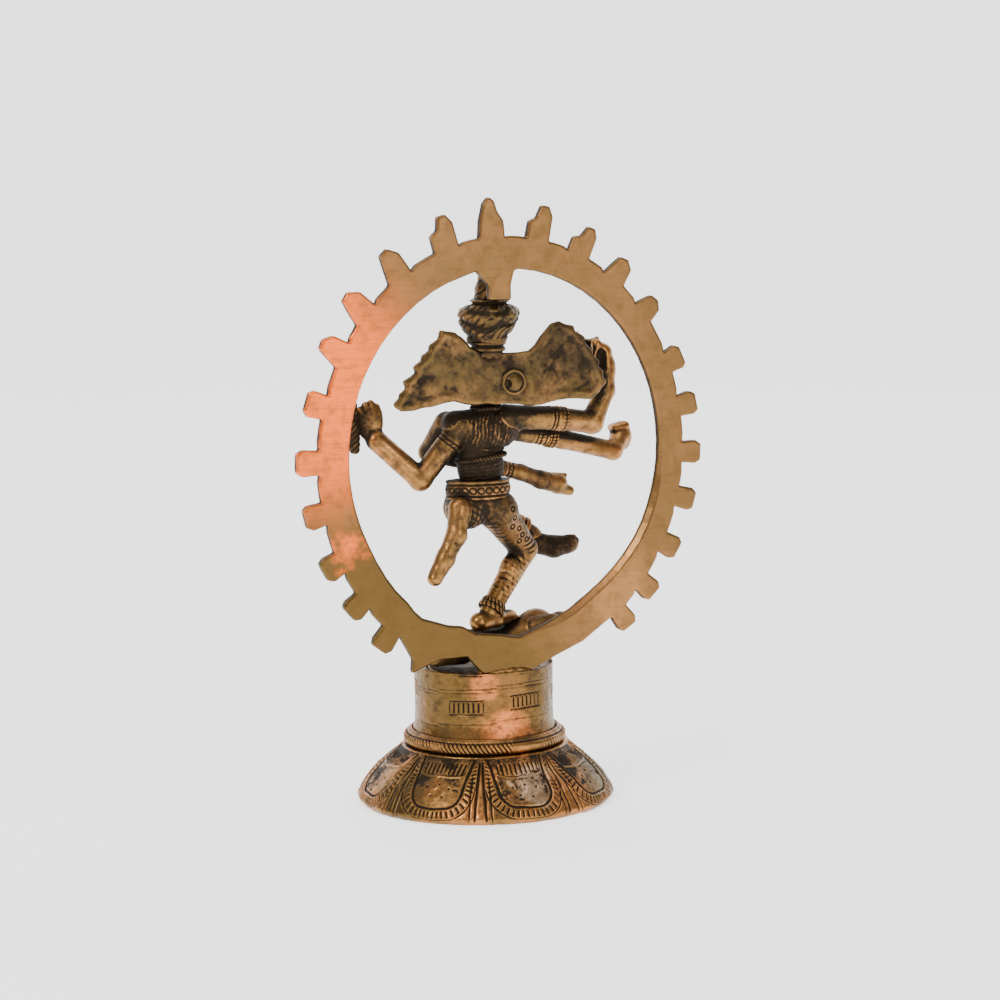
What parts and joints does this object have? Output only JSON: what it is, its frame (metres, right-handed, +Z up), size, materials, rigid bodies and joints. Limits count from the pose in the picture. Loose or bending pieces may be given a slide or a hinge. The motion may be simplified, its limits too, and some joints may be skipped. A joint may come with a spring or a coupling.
{
  "type": "brass nataraja statue",
  "caption": "Dancing four-armed figure on a reclining dwarf, on a round lotus pedestal, framed by an upright ring of small flames.",
  "frame": {"origin": "on the pedestal's axis, at the level of the surface that the lotus base stands on", "axes": "+Z up along the statue's height, -Y is the front that the figure faces, +X is towards the figure's left hand"},
  "size_m": [0.0941, 0.0578, 0.1346],
  "materials": {
    "cast_brass": "hand-finished cast brass, dark patina in the recesses and rubbed bright on the high spots",
    "burnished_brass": "filed and rubbed brass with a warm coppery tarnish and fine file marks",
    "dark_brass": "cast brass left as cast, brown-black patina with dull highlights"
  },
  "bodies": {
    "root": {"lotus_base": "cast_brass", "beaded_collar": "cast_brass", "pedestal_drum": "burnished_brass", "drum_top_plate": "dark_brass", "flame_ring": "burnished_brass", "braze_fillet": "dark_brass", "dwarf_body": "dark_brass", "dwarf_head": "dark_brass", "dwarf_left_leg": "dark_brass", "dwarf_right_leg": "dark_brass", "dwarf_left_arm": "dark_brass", "dwarf_right_arm": "dark_brass", "hips": "cast_brass", "waist_belt": "dark_brass", "standing_leg": "cast_brass", "standing_foot": "cast_brass", "standing_anklet": "cast_brass", "raised_leg": "cast_brass", "raised_foot": "cast_brass", "raised_anklet": "cast_brass", "sash_tail": "cast_brass", "torso": "cast_brass", "chest_cord": "dark_brass", "necklace": "cast_brass", "head": "cast_brass", "left_earring": "cast_brass", "right_earring": "cast_brass", "crown": "dark_brass", "crown_band": "dark_brass", "hair_fan": "dark_brass", "hair_rivet": "cast_brass", "rear_right_arm": "cast_brass", "front_right_arm": "cast_brass", "rear_left_arm": "cast_brass", "front_left_arm": "cast_brass", "rear_right_armband": "cast_brass", "front_right_armband": "cast_brass", "rear_left_armband": "cast_brass", "hand_flame": "dark_brass", "damaru": "cast_brass"}
  },
  "joints": []
}
